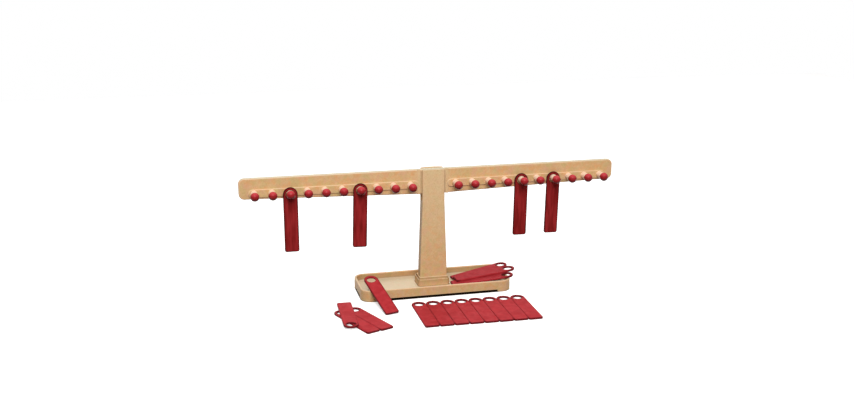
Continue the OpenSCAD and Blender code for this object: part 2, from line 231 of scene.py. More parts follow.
FAN_SLOPE = math.degrees(math.atan((RIM_Z - FLOOR_Z) / (FAN_EDGE_X - FAN_FOOT_X)))
INNER_D = TRAY_D - 2 * WALL
FAN_FRONT = (FAN_EDGE_X + 3.7, -INNER_D / 2 + 17.9)
FAN_BACK = (FAN_EDGE_X + 8.9, INNER_D / 2 - 16.3)
FAN_TOP = (FAN_EDGE_X + 13.1, -INNER_D / 2 + 38.9)
FAN_HEADINGS = (-92.3, -75.2, -87)

# Edge marks, from 1 on a rounded outer edge, which gets a painted highlight, to -1 in an inner corner,
# which gets painted shade. The column's sides and flange, the plinth and the inside of the tray's wall
# get painted shade too. On a weight the marks, which darken it with painted shade, reach a little way
# in from each edge, and its long sides have a mark of their own between the two ends. The fan's least
# mark gives it painted shade all over.
PAINTED_WALL_SHADE = 0.6
PAINTED_SIDE_SHADE = 1.0
CORNER_MARK = 0.3
DARK_IN = 2.0
SIDE_FADE = 9.0
TOUCHING_SIDE = 0.3
FREE_SIDE, FREE_HOLE = 0.9, 0.4
FAN_SIDE, FAN_LEAST = 0.0, 0.22


def rounded_path(points, radii, closed=True, steps=STEPS, hold=0.0):
    """Polygon in the plane with each corner replaced by a tangent arc of its radius. The arc runs about
    the centre that lies on the corner's bisector, and hold adds a point just beside each end of it."""
    points = [np.array(p, float) for p in points]
    path = []
    last = len(points) - 1
    for i, (corner, radius) in enumerate(zip(points, radii)):
        inner = closed or 0 < i < last
        if not inner or radius <= 0:
            path.append(corner[None])
            continue
        back = points[i - 1] - corner
        ahead = points[(i + 1) % len(points)] - corner
        back /= np.linalg.norm(back)
        ahead /= np.linalg.norm(ahead)
        half = math.acos(np.clip(back @ ahead, -1, 1)) / 2
        tangent = radius / math.tan(half)
        bisector = (back + ahead) / np.linalg.norm(back + ahead)
        centre = corner + bisector * radius / math.sin(half)
        start = corner + back * tangent - centre
        turn = math.pi - 2 * half
        sign = np.sign(start[1] * back[0] - start[0] * back[1])
        angles = np.linspace(0, turn, steps + 1) * sign
        cos, sin = np.cos(angles), np.sin(angles)
        arc = centre + np.stack([start[0] * cos - start[1] * sin, start[0] * sin + start[1] * cos], axis=1)
        if hold:
            arc = np.vstack([corner + back * (tangent + hold), arc, corner + ahead * (tangent + hold)])
        path.append(arc)
    return np.vstack(path)


def bends(profile, sign=-1):
    """Edge mark of each point of an open profile: 1 on a rounded outer edge, -1 in a rounded inner corner
    and 0 on the straight parts, from the turn of the path at the point."""
    profile = np.asarray(profile, float)
    step = np.diff(profile, axis=0)
    cross = step[:-1, 0] * step[1:, 1] - step[:-1, 1] * step[1:, 0]
    dot = np.sum(step[:-1] * step[1:], axis=1)
    turn = np.arctan2(cross, dot)
    marks = np.where(np.abs(turn) > 0.01, np.sign(turn) * sign, 0.0)
    return np.concatenate([[0.0], marks, [0.0]])


def volume(points, faces):
    """Six times the space inside a closed surface, negative if its faces point inwards: the sum of the
    tetrahedra from the origin to each triangle, with every face cut into a fan of triangles."""
    total = 0.0
    for size in {len(face) for face in faces}:
        corners = points[np.array([face for face in faces if len(face) == size])]
        fans = np.cross(corners[:, 1:-1], corners[:, 2:])
        total += np.einsum("ij,ikj->", corners[:, 0], fans)
    return total


def loft(rings, closed=False, marks=0.0):
    """Surface through a stack of closed rings with as many points each: a function of the place along
    the stack and round the ring. It closes on itself like a torus, or has a flat cap at each end. The
    edge marks are given for each ring or for each point, and all faces point outwards."""
    rings = np.asarray(rings, float)
    count, around = rings.shape[:2]
    marks = np.asarray(marks, float)
    marks = np.zeros((count, around)) + (marks[:, None] if marks.ndim == 1 else marks)
    index = np.arange(count * around).reshape(count, around)
    here = index if closed else index[:-1]
    there = np.roll(index, -1, axis=0) if closed else index[1:]
    quads = np.stack([here, np.roll(here, -1, axis=1), np.roll(there, -1, axis=1), there], axis=-1)
    faces = quads.reshape(-1, 4).tolist()
    if not closed:
        faces += [index[0][::-1].tolist(), index[-1].tolist()]
    points = rings.reshape(-1, 3)
    if volume(points, faces) < 0:
        faces = [face[::-1] for face in faces]
    return points, faces, marks.ravel()


def flat_ring(outline, height, axis="z"):
    """Plane outline set at a height along Z, or along Y for an outline in the front view."""
    outline = np.asarray(outline, float)
    level = np.full(len(outline), 0.0) + height
    order = (outline[:, 0], outline[:, 1], level) if axis == "z" else (outline[:, 0], level, outline[:, 1])
    return np.stack(order, axis=1)


def block(outline, low, high, round_low=0.0, round_high=0.0, axis="z"):
    """Prism between two levels whose end edges are rounded: the outline is drawn in along a quarter
    circle as the level nears each end."""
    lead_low = 2 * max(round_low, EDGE_ROUND)
    lead_high = 2 * max(round_high, EDGE_ROUND)
    profile = rounded_path([(lead_low, low), (0, low), (0, high), (lead_high, high)],
                           [0, round_low, round_high, 0], closed=False, hold=HOLD)
    rings = [flat_ring(outline(inset), level, axis) for inset, level in profile[1:-1]]
    return loft(rings, marks=bends(profile)[1:-1])


def lathe(profile, centre, count=48):
    """Rings of a solid of revolution about a line along Y: each profile point (radius, place along the
    line) is turned through a full circle. A pole is a tiny ring, which the loft's cap closes."""
    angles = np.linspace(0, 2 * math.pi, count, endpoint=False)
    rings = []
    for radius, place in profile:
        x = centre[0] + radius * np.cos(angles)
        z = centre[1] + radius * np.sin(angles)
        rings.append(np.stack([x, np.full(count, place), z], axis=1))
    return rings


def box_outline(half_w, half_d, radius, centre=(0, 0), steps=STEPS):
    """Rectangle with rounded corners as a function of the inset."""
    def at(inset):
        """Outline drawn in by the inset."""
        w, d = half_w - inset, half_d - inset
        r = max(radius - inset, 0.05)
        corners = [(w, -d), (w, d), (-w, d), (-w, -d)]
        return rounded_path(corners, [r] * 4, steps=steps) + np.array(centre)
    return at


def as_object(name, mesh, mat):
    """Object of a mesh in metres, at the origin, smooth but for its sharp edges."""
    mesh.shade_smooth()
    mesh.set_sharp_from_angle(angle=math.radians(SHARP_ANGLE))
    mesh.materials.clear()
    mesh.materials.append(mat)
    obj = bpy.data.objects.new(name, mesh)
    bpy.context.scene.collection.objects.link(obj)
    return obj


def stand_in(obj, body, nodes):
    """Lets an object ride on its body in the place of its nodes of the frame."""
    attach(obj, body)
    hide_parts(*nodes)


def piece(name, parts, mat, body, nodes):
    """One mesh made of closed surfaces, with doubled points merged and faces without area dropped. The
    edge marks, and how far each point faces upwards, become attributes that the materials read."""
    points, faces, marks, start = [], [], [], 0
    for part_points, part_faces, part_marks in parts:
        points.append(np.asarray(part_points) * MM)
        faces += [[start + i for i in face] for face in part_faces]
        marks.append(part_marks)
        start += len(part_points)
    mesh = bpy.data.meshes.new(name)
    mesh.from_pydata(np.vstack(points).tolist(), [], faces)
    mesh.attributes.new("edge", "FLOAT", "POINT").data.foreach_set("value", np.concatenate(marks))
    bm = bmesh.new()
    bm.from_mesh(mesh)
    bmesh.ops.remove_doubles(bm, verts=bm.verts, dist=MERGE)
    bmesh.ops.dissolve_degenerate(bm, edges=bm.edges, dist=MERGE)
    bm.to_mesh(mesh)
    bm.free()
    normals = np.empty(len(mesh.vertices) * 3)
    mesh.vertices.foreach_get("normal", normals)
    mesh.attributes.new("up", "FLOAT", "POINT").data.foreach_set("value", normals[2::3])
    stand_in(as_object(name, mesh, mat), body, nodes)


# Materials

def linear(code):
    """sRGB hex to linear RGBA."""
    values = [int(code[i:i + 2], 16) / 255 for i in (1, 3, 5)]
    return tuple(v / 12.92 if v <= 0.04045 else ((v + 0.055) / 1.055) ** 2.4 for v in values) + (1.0,)


def add(tree, kind, inputs=None, **settings):
    """Adds a node with its settings, and sets or links its inputs."""
    node = tree.nodes.new(kind)
    for key, value in settings.items():
        setattr(node, key, value)
    for key, value in (inputs or {}).items():
        if isinstance(value, bpy.types.NodeSocket):
            tree.links.new(value, node.inputs[key])
        else:
            node.inputs[key].default_value = value
    return node


def material(name):
    """New node material with its shader and the place of its patterns, in metres on the object."""
    mat = bpy.data.materials.new(name)
    mat.use_nodes = True
    tree = mat.node_tree
    shader = tree.nodes["Principled BSDF"]
    place = add(tree, "ShaderNodeTexCoord").outputs["Object"]
    return mat, tree, shader, place


def patches(tree, place, size, detail=2.0, low=0.35, high=0.65, warp=0.0, least=0.0, most=1.0):
    """Soft patches of one size in millimetres, as a value from the least to the most."""
    noise = add(tree, "ShaderNodeTexNoise", {"Vector": place, "Scale": 1 / (size * MM), "Detail": detail,
                                             "Distortion": warp}).outputs["Fac"]
    return add(tree, "ShaderNodeMapRange", {"Value": noise, "From Min": low, "From Max": high,
                                            "To Min": least, "To Max": most}).outputs["Result"]


def surface(tree, shader, colour, roughness, relief, strength, depth):
    """Gives a shader its colour, its roughness and a relief whose depth is in millimetres."""
    bump = add(tree, "ShaderNodeBump", {"Height": relief, "Strength": strength, "Distance": depth * MM})
    tree.links.new(colour, shader.inputs["Base Color"])
    tree.links.new(roughness, shader.inputs["Roughness"])
    tree.links.new(bump.outputs["Normal"], shader.inputs["Normal"])


# How much of each colour lies over the board's own
# Painted light in the board's colour: a painted highlight on rounded outer edges, painted shade in inner
# corners and on shaded faces, and a painted sheen on upward faces, most of all at the beam's top
PAINTED_HIGHLIGHT = 0.25
PAINTED_SHADE = 0.6
PAINTED_SHEEN = 0.6
PALE_COLUMN = 0.6
PAINTED_BEAM_SHEEN = 0.85

# In millimetres: a fibre's width, the heights between which the column grows paler, the half widths
# between which the column ends, and the heights between which a weight's painted lit red turns to the
# painted shaded red of a hanging one
FIBRE = 1.9
PALE_LOW, PALE_HIGH = 30, 170
COLUMN_IN, COLUMN_OUT = 24, 32
FREE_LOW, FREE_HIGH = 40, 75


def fibre_board():
    """Moulded wood-fibre board, waxed: tan with soft orange, olive and pink clouds about 10 mm wide, short
    fibres drawn 2 mm wide so that they show, a painted highlight on rounded edges, painted shade in inner
    corners and on shaded faces, and a satin sheen. Upward faces get a paler, greyer painted sheen, most of
    all on the beam, and the column grows paler with its height."""
    mat, tree, shader, place = material("moulded_wood_fibre_board_waxed")
    shifted = add(tree, "ShaderNodeVectorMath", {0: place, 1: (3.1, 1.7, 2.3)}, operation="ADD").outputs[0]
    orange = patches(tree, place, 8, low=0.42, high=0.64, warp=0.6, most=0.75)
    olive = patches(tree, place, 13, low=0.46, high=0.66, warp=0.4, most=0.75)
    pink = patches(tree, shifted, 10, low=0.48, high=0.66, warp=0.3, most=0.65)
    fibres = patches(tree, place, FIBRE, 4, low=0.40, high=0.72, warp=1.0, most=0.36)
    up = add(tree, "ShaderNodeAttribute", attribute_name="up").outputs["Fac"]
    edge = add(tree, "ShaderNodeAttribute", attribute_name="edge").outputs["Fac"]
    spot = add(tree, "ShaderNodeSeparateXYZ", {"Vector": place}).outputs
    aside = add(tree, "ShaderNodeMath", {0: spot["X"]}, operation="ABSOLUTE").outputs[0]
    shares = {}
    # Shares of the painted sheen on upward faces, the column's paleness, the painted highlight and painted
    # shade from the edge marks, and the painted sheen near the beam's top
    for name, value, start, end, least, most in (
            ("flat", up, 0.8, 1.0, 0.0, PAINTED_SHEEN),
            ("high", spot["Z"], PALE_LOW * MM, PALE_HIGH * MM, 0.0, 1.0),
            ("column", aside, COLUMN_OUT * MM, COLUMN_IN * MM, 0.0, PALE_COLUMN),
            ("painted_highlight", edge, 0.0, 1.0, 0.0, PAINTED_HIGHLIGHT),
            ("painted_shade", edge, -1.0, 0.0, PAINTED_SHADE, 0.0),
            ("lofty", spot["Z"], (BEAM_TOP - 6) * MM, (BEAM_TOP - 2) * MM, 0.0, 1.0),
            ("painted_beam_sheen", up, 0.2, 0.8, 0.0, PAINTED_BEAM_SHEEN)):
        shares[name] = add(tree, "ShaderNodeMapRange", {"Value": value, "From Min": start, "From Max": end,
                                                        "To Min": least, "To Max": most}).outputs["Result"]
    for name, other in (("high", "column"), ("painted_beam_sheen", "lofty")):
        shares[name] = add(tree, "ShaderNodeMath", {0: shares[name], 1: shares[other]},
                           operation="MULTIPLY").outputs[0]
    base = linear("#D0AC7E")
    for share, colour in ((orange, "#D39B66"), (olive, "#C0A974"), (pink, "#CFA07F"),
                          (shares["high"], "#D8BE94"), (fibres, "#A87C4C"), (shares["flat"], "#D4CAB0"),
                          (shares["painted_highlight"], "#EBC8AA"), (shares["painted_shade"], "#7A5A38"),
                          (shares["painted_beam_sheen"], "#CCC2A8")):
        base = add(tree, "ShaderNodeMix", {0: share, 6: base, 7: linear(colour)},
                   data_type="RGBA").outputs[2]
    roughness = patches(tree, place, FIBRE, 4, low=0.35, high=0.75, warp=1.0, least=0.46, most=0.58)
    shader.inputs["Specular IOR Level"].default_value = 0.22
    surface(tree, shader, base, roughness, fibres, 0.12, 0.12)
    return mat


def weight_plastic():
    """Injection-moulded polystyrene of the flat weights, matt. Low down it is a painted lit red, bright as
    if the pale ground showed through the plate; where a plate hangs free it is a painted shaded red, deeper
    and streaked along its length; and painted shade darkens it towards every edge."""
    mat, tree, shader, place = material("moulded_polystyrene_red_matt")
    stretch = add(tree, "ShaderNodeMapping", {"Vector": place, "Scale": (1.0, 1.0, 0.12)}).outputs["Vector"]
    clouds = patches(tree, place, 11, 3, warp=0.5)
    streaks = patches(tree, stretch, 3.5)
    height = add(tree, "ShaderNodeSeparateXYZ", {"Vector": place}).outputs["Z"]
    # Painted shade by height: above it a plate hangs free and gets the painted shaded red
    free = add(tree, "ShaderNodeMapRange", {"Value": height, "From Min": FREE_LOW * MM,
                                            "From Max": FREE_HIGH * MM}).outputs["Result"]
    edge = add(tree, "ShaderNodeAttribute", attribute_name="edge").outputs["Fac"]
    # Painted shade towards every edge, from the edge marks
    dark = add(tree, "ShaderNodeMapRange", {"Value": edge, "To Max": 0.85}).outputs["Result"]
    reds = []
    for share, first, second in ((clouds, "#A3292E", "#B23338"), (streaks, "#721615", "#902425"),
                                 (free, "#5A1218", "#2C0709")):
        mix = add(tree, "ShaderNodeMix", {0: share, 6: linear(first), 7: linear(second)}, data_type="RGBA")
        reds.append(mix.outputs[2])
    painted_lit_red, painted_shaded_red, outline = reds
    base = add(tree, "ShaderNodeMix", {0: free, 6: painted_lit_red, 7: painted_shaded_red}, data_type="RGBA").outputs[2]
    base = add(tree, "ShaderNodeMix", {0: dark, 6: base, 7: outline}, data_type="RGBA").outputs[2]
    shader.inputs["Specular IOR Level"].default_value = 0.05
    surface(tree, shader, base, patches(tree, place, 16, least=0.52, most=0.6), clouds, 0.04, 0.1)
    return mat


def ball_lacquer():
    """Turned beech ball dipped in red lacquer, satin, with painted light making it bright on top and
    painted shade making it deep red below."""
    mat, tree, shader, place = material("dipped_lacquer_red_on_beech")
    clouds = patches(tree, place, 6)
    up = add(tree, "ShaderNodeAttribute", attribute_name="up").outputs["Fac"]
    # Painted light on the upper half and painted shade on the lower half, from how far each point faces
    # upwards
    painted_top_light = add(tree, "ShaderNodeMapRange", {"Value": up, "From Min": 0.2,
                                            "From Max": 0.9}).outputs["Result"]
    painted_underside_shade = add(tree, "ShaderNodeMapRange", {"Value": up, "From Min": 0.1,
                                             "From Max": -0.7}).outputs["Result"]
    base = linear("#8D171B")
    for share, colour in ((clouds, "#951C20"), (painted_top_light, "#C24046"), (painted_underside_shade, "#600C0E")):
        base = add(tree, "ShaderNodeMix", {0: share, 6: base, 7: linear(colour)},
                   data_type="RGBA").outputs[2]
    shader.inputs["Specular IOR Level"].default_value = 0.1
    surface(tree, shader, base, patches(tree, place, 6, least=0.2, most=0.26), clouds, 0.05, 0.2)
    return mat


def stem_wood():
    """Turned birch dowel, sanded: pale, with a pinkish white painted highlight at its end, and faint fibres
    along the stem that are about 1 mm wide and eight times as long."""
    mat, tree, shader, place = material("turned_birch_sanded")
    stretch = add(tree, "ShaderNodeMapping", {"Vector": place, "Scale": (1.0, 0.12, 1.0)}).outputs["Vector"]
    fibres = patches(tree, stretch, 0.9, 4, high=0.7, most=0.35)
    edge = add(tree, "ShaderNodeAttribute", attribute_name="edge").outputs["Fac"]
    base = linear("#FCE0CA")
    # The edge mark at the stem's end gets a pinkish white painted highlight
    for share, colour in ((patches(tree, place, 9), "#F8D8BE"), (fibres, "#E2B68C"), (edge, "#FBE4D6")):
        base = add(tree, "ShaderNodeMix", {0: share, 6: base, 7: linear(colour)},
                   data_type="RGBA").outputs[2]
    roughness = patches(tree, stretch, 0.9, 4, high=0.7, least=0.38, most=0.5)
    surface(tree, shader, base, roughness, fibres, 0.15, 0.08)
    return mat


def turned_steel():
    """Zinc-plated turned steel of the pin and screws: cool grey with fine uneven scratches."""
    mat, tree, shader, place = material("turned_steel_zinc_plated")
    fine = patches(tree, place, 0.5, 4)
    base = add(tree, "ShaderNodeMix", {0: fine, 6: linear("#B4B6B8"), 7: linear("#9DA0A4")},
               data_type="RGBA").outputs[2]
    shader.inputs["Metallic"].default_value = 1.0
    surface(tree, shader, base, patches(tree, place, 0.5, 4, least=0.26, most=0.42), fine, 0.1, 0.05)
    return mat


# Tray

def stations(feet_end, half):
    """Shares of a straight side where the outline needs points: close together on the slopes of its two
    feet, and one in the middle."""
    near = feet_end - FOOT_SLOPE * np.linspace(0, 1, 6)
    return np.concatenate([near, [0.0], -near[::-1]]) / half


def tray_outline(half_w, half_d, radius):
    """Rounded rectangle with stations along its straight sides, at the same shares of each side for
    every size, so that rings of the tray and of the plinth join point by point."""
    side = stations(TRAY_D / 2 - FOOT_LEN + FOOT_SLOPE / 2, TRAY_D / 2 - TRAY_R)
    front = stations(TRAY_W / 2 - FOOT_LEN + FOOT_SLOPE / 2, TRAY_W / 2 - TRAY_R)
    flat_w, flat_d = half_w - radius, half_d - radius
    quarter = np.linspace(0, math.pi / 2, 9)
    turn = np.stack([np.cos(quarter), np.sin(quarter)], axis=1) * radius
    right = np.stack([np.full(len(side), half_w), -side * flat_d], axis=1)
    back = np.stack([front * flat_w, np.full(len(front), half_d)], axis=1)
    corner_1 = turn + [flat_w, flat_d]
    corner_2 = turn[::-1] * [-1, 1] + [-flat_w, flat_d]
    half_ring = np.vstack([right, corner_1, back, corner_2])
    return np.vstack([half_ring, -half_ring])


def foot_lift():
    """How far each point of the outline is above the feet, from 0 at a foot to 1 between two feet, by the
    smooth step 3s² - 2s³ of its share s of the slope."""
    outline = tray_outline(TRAY_W / 2, TRAY_D / 2, TRAY_R)
    on_end = np.abs(np.abs(outline[:, 0]) - TRAY_W / 2) < NEAR
    along = np.where(on_end, np.abs(outline[:, 1]), np.abs(outline[:, 0]))
    limit = np.where(on_end, TRAY_D / 2, TRAY_W / 2) - FOOT_LEN
    share = np.clip((limit + FOOT_SLOPE / 2 - along) / FOOT_SLOPE, 0, 1)
    return share * share * (3 - 2 * share)


def plinth_ring(inset, z):
    """Ring of the plinth, which holds the column's socket, at an inset and a height."""
    outline = tray_outline(PLINTH_W / 2 - inset, PLINTH_D / 2 - inset, max(PLINTH_R - inset, LEAST_R))
    return flat_ring(outline, z)


def tray(mat):
    """Profile carried round the tray: under the floor, down the wall's inside, round its foot, up the
    outside, over the rim, down to the floor and over the plinth's rim into the socket."""
    # The outer point of a path that joins another one only gives its arc a direction, and is left out
    lead = 2 * FLOOR_ROUND
    pocket = rounded_path([(PLINTH_RIM + 2, SOCKET_UNDER), (PLINTH_RIM, SOCKET_UNDER),
                           (PLINTH_RIM, UNDER_Z), (-2, UNDER_Z)],
                          [0, EDGE_ROUND, EDGE_ROUND, 0], closed=False, hold=HOLD)
    under = rounded_path([(WALL + lead, UNDER_Z), (WALL, UNDER_Z), (WALL, 0), (0, 0), (0, RIM_Z),
                          (WALL, RIM_Z), (WALL, FLOOR_Z), (WALL + lead, FLOOR_Z)],
                         [0, EDGE_ROUND, EDGE_ROUND, EDGE_ROUND, RIM_ROUND, RIM_ROUND, FLOOR_ROUND, 0],
                         closed=False, hold=HOLD)
    rim = rounded_path([(-3, FLOOR_Z), (0, FLOOR_Z), (0, PLINTH_Z), (PLINTH_RIM, PLINTH_Z),
                        (PLINTH_RIM, SOCKET_Z), (PLINTH_RIM + 3, SOCKET_Z)],
                       [0, PLINTH_FOOT_ROUND, PLINTH_ROUND, PLINTH_ROUND, EDGE_ROUND, 0],
                       closed=False, hold=HOLD)
    lift = FOOT_H * foot_lift()
    rings = [plinth_ring(inset, z) for inset, z in pocket[:-1]]
    for inset, z in under:
        outline = tray_outline(TRAY_W / 2 - inset, TRAY_D / 2 - inset, TRAY_R - inset)
        on_wall = inset <= WALL + NEAR
        raised = lift * np.clip((UNDER_Z - FOOT_FADE - z) / FOOT_FADE, 0, 1) if on_wall else 0
        rings.append(flat_ring(outline, z + raised))
    rings += [plinth_ring(inset, z) for inset, z in rim[1:]]
    # Painted shade on the inside of the tray's wall and on the plinth
    wall_marks = bends(under)
    wall_marks[(np.abs(under[:, 0] - WALL) < NEAR) & (under[:, 1] > FLOOR_Z + 1)] = -PAINTED_WALL_SHADE
    plinth_marks = np.clip(bends(rim)[1:] - PAINTED_WALL_SHADE * (rim[1:, 1] > FLOOR_Z + 1.5), -1, 1)
    parts = [loft(rings, marks=np.concatenate([bends(pocket)[:-1], wall_marks, plinth_marks]))]
    length_x = TRAY_W / 2 - WALL + RIB_REACH
    length_y = TRAY_D / 2 - WALL + RIB_REACH
    for side in (-1, 1):
        along = box_outline(length_x, RIB_T / 2, RIB_ROUND, (0, side * RIB_Y_SHARE * TRAY_D / 2), 2)
        across = box_outline(RIB_T / 2, length_y, RIB_ROUND, (side * RIB_X_SHARE * TRAY_W / 2, 0), 2)
        parts += [block(rib, FOOT_H, UNDER_Z + RIB_SINK, RIB_ROUND, 0) for rib in (along, across)]
    piece("tray", parts, mat, "stand", ["tray_base"])


# Column

def half_width(z):
    """Half width of the column at a height: straight taper up to the upright head."""
    lean = (FOOT_HALF - HEAD_HALF) / (SHOULDER_Z - SOCKET_Z)
    return HEAD_HALF + max(SHOULDER_Z - z, 0) * lean


def shell_section(half, inner_y, seam, inset=0.0):
    """Closed section of the front shell: round the outside from seam to seam and back along the inside."""
    side, front, radius = half - inset, FRONT_Y + inset, CORNER_ROUND - inset
    outer = rounded_path([(-side, seam), (-side, front), (side, front), (side, seam)],
                         [0, radius, radius, 0], closed=False, hold=HOLD)
    inner = half - SIDE_WALL
    deep = inner * INNER_TAPER
    return np.vstack([outer, [(inner, seam), (deep, inner_y), (-deep, inner_y), (-inner, seam)]])


def flange():
    """Front half of the foot flange, with its outer corners and its upper edge rounded."""
    def at(inset):
        """Outline drawn in by the inset, but not at the seam."""
        half, front, radius = FLANGE_HALF - inset, FLANGE_FRONT + inset, max(FLANGE_R - inset, 0.1)
        return rounded_path([(-half, SEAM_Y), (-half, front), (half, front), (half, SEAM_Y)],
                            [0, radius, radius, 0], closed=False)
    points, faces, marks = block(at, SOCKET_Z, FLANGE_TOP, 0, FLANGE_ROUND)
    # All but the rounded upper edge get painted shade
    return points, faces, np.where(marks > 0.5, marks, marks - PAINTED_WALL_SHADE)


def boss(inner_y):
    """Round boss behind the shell's front, turned about the pin."""
    end = inner_y + BOSS_LEN
    rounded = rounded_path([(BOSS_R, inner_y), (BOSS_R, end), (0, end)], [0, BOSS_ROUND, 0], closed=False,
                           hold=HOLD)
    profile = [(POLE_R, inner_y - BOSS_SINK), (BOSS_R, inner_y - BOSS_SINK), *rounded[1:-1], (POLE_R, end)]
    return loft(lathe(profile, (0, PIVOT_Z)))


def front_shell(mat):
    """Sections stacked up the column: floor, hollow, sill and the plate in front of the slot."""
    inner_y = FRONT_Y + FRONT_WALL
    floor_z, sill_z = SOCKET_Z + SIDE_WALL, SLOT_Z - SIDE_WALL
    levels = [(SOCKET_Z, False), (floor_z - DRAFT, False), (floor_z, True),
              (SHOULDER_Z - SHOULDER_BAND, True), (sill_z - DRAFT, True), (sill_z, False), (SLOT_Z, False)]
    rings = []
    for z, hollow in levels:
        section = shell_section(half_width(z), inner_y if hollow else SEAM_Y, SEAM_Y)
        rings.append(flat_ring(section, z))
    top = rounded_path([(0, SLOT_Z + DRAFT), (0, COLUMN_TOP), (TOP_ROUND * 2, COLUMN_TOP)],
                       [0, TOP_ROUND, 0], closed=False, hold=HOLD)
    for inset, z in top[:-1]:
        rings.append(flat_ring(shell_section(HEAD_HALF, inner_y - inset, inner_y - inset, inset), z))
    # A section ends with the right seam point and the four inner points, and starts with the left seam
    # The rounded corners get a weak painted highlight, and the seams and the sides beside them painted
    # shade
    around = bends(shell_section(HEAD_HALF, SEAM_Y, SEAM_Y), 1) * CORNER_MARK
    around[-5:] = 0
    around[[1, -6]] = -PAINTED_SIDE_SHADE
    around[[0, -5]] = -1.0
    upwards = np.concatenate([np.zeros(len(levels)), bends(top)[:-1]])
    shell = loft(rings, marks=np.clip(around[None] + upwards[:, None], -1, 1))
    parts = [shell, boss(inner_y), flange()]
    piece("column_front", parts, mat, "stand", ["column_front_shell"])


def rear_cover(mat):
    """The frame's cover with its doubled points merged and its flat faces joined. The flange's upper face
    is raised to the front half's, the sides are marked for painted shade, and a bevel rounds the edges."""
    mesh = frame["nodes"]["column_rear_cover"].data.copy()
    mesh.name = "column_back"
    bm = bmesh.new()
    bm.from_mesh(mesh)
    bmesh.ops.remove_doubles(bm, verts=bm.verts, dist=NEAR)
    flat = math.radians(COVER_FLAT_ANGLE)
    bmesh.ops.dissolve_limit(bm, angle_limit=flat, verts=bm.verts, edges=bm.edges)
    bmesh.ops.recalc_face_normals(bm, faces=bm.faces)
    bm.to_mesh(mesh)
    bm.free()
    points = np.empty(len(mesh.vertices) * 3)
    mesh.vertices.foreach_get("co", points)
    level = (SOCKET_Z + COVER_FLANGE_H) * MM
    raised = np.abs(points[2::3] - level) < 0.01 * MM
    points[2::3] += raised * (FLANGE_TOP * MM - level)
    mesh.vertices.foreach_set("co", points)
    normals = np.empty(len(mesh.polygons) * 3)
    mesh.polygons.foreach_get("normal", normals)
    # Painted shade on the faces that look to either side
    marks = np.where(np.abs(normals[0::3]) > 0.95, -PAINTED_SIDE_SHADE, 0.0)
    mesh.attributes.new("edge", "FLOAT", "FACE").data.foreach_set("value", marks)
    obj = as_object("column_back", mesh, mat)
    bevel = obj.modifiers.new("rounded_edges", "BEVEL")
    bevel.width = COVER_ROUND * MM
    bevel.segments = COVER_SEGMENTS
    bevel.limit_method = "ANGLE"
    bevel.angle_limit = math.radians(COVER_EDGE_ANGLE)
    stand_in(obj, "stand", ["column_rear_cover"])


# Beam

def beam_outline(inset):
    """Front view of the beam as a function of the inset, with rounded end corners and a tapered lower
    edge."""
    top, end, bottom, middle = BEAM_TOP - inset, HALF_LEN - inset, END_BOTTOM + inset, MID_BOTTOM + inset
    end_x = HALF_LEN - END_LEN
    return rounded_path([(end, bottom), (end, top), (-end, top), (-end, bottom), (-end_x, bottom),
                         (-TAPER_X, middle), (TAPER_X, middle), (end_x, bottom)],
                        [END_R - inset] * 4 + [TAPER_R] * 4, steps=8)


def beam(mat):
    """Rings from the hub's bore out over its face and the beam's front, round the edge, and back. Each
    ring of the hub has its points at the same angles about the pivot as the beam's outline."""
    edge = beam_outline(0)
    angle = np.arctan2(edge[:, 1] - PIVOT_Z, edge[:, 0])
    circle = np.stack([np.cos(angle), np.sin(angle)], axis=1)
    hub = rounded_path([(BORE_R, HUB_FRONT + 1), (BORE_R, HUB_FRONT), (HUB_R, HUB_FRONT),
                        (HUB_R, BEAM_FRONT)],
                       [0, BORE_ROUND, HUB_FRONT_ROUND, 0], closed=False, hold=SMALL_HOLD)
    skin = rounded_path([(12, BEAM_FRONT), (0, BEAM_FRONT), (0, BEAM_BACK), (12, BEAM_BACK)],
                        [0, BEAM_ROUND, BEAM_ROUND, 0], closed=False, hold=HOLD)
    back = rounded_path([(HUB_R, BEAM_BACK), (HUB_R, HUB_BACK), (BORE_R, HUB_BACK),
                         (BORE_R, HUB_BACK - 1)],
                        [0, HUB_BACK_ROUND, BORE_ROUND, 0], closed=False, hold=SMALL_HOLD)
    rings = [flat_ring(circle * r + [0, PIVOT_Z], y, "y") for r, y in hub]
    rings += [flat_ring(beam_outline(inset), y, "y") for inset, y in skin[1:-1]]
    rings += [flat_ring(circle * r + [0, PIVOT_Z], y, "y") for r, y in back]
    marks = np.concatenate([bends(hub, 1), bends(skin)[1:-1], bends(back, 1)])
    parts = [loft(rings, closed=True, marks=marks)]
    middle = (TAPER_X + RAIL_OUTER) / 2
    half = (RAIL_OUTER - TAPER_X) / 2
    mid_z = (BEAM_TOP + MID_BOTTOM) / 2
    for side in (-1, 1):
        rail = box_outline(half, RAIL_H / 2, RAIL_H / 2, (side * middle, PEG_Z), 12)
        parts.append(block(rail, RAIL_FRONT, BEAM_FRONT + RAIL_SINK, RAIL_ROUND, 0, "y"))
        collar = box_outline(COLLAR_W / 2, (BEAM_TOP - MID_BOTTOM) / 2, COLLAR_R,
                             (side * (COLLAR_X + COLLAR_W / 2), mid_z), 4)
        parts.append(block(collar, BEAM_FRONT - COLLAR_PROUD, BEAM_FRONT + COLLAR_SINK, COLLAR_ROUND, 0,
                           "y"))
    piece("beam_with_rails", parts, mat, "balance_beam", ["beam"])


# Pegs

def peg_x(i):
    """Distance of a peg from the column, counted from 1."""
    return FIRST_PEG_X + (i - 1) * PEG_PITCH


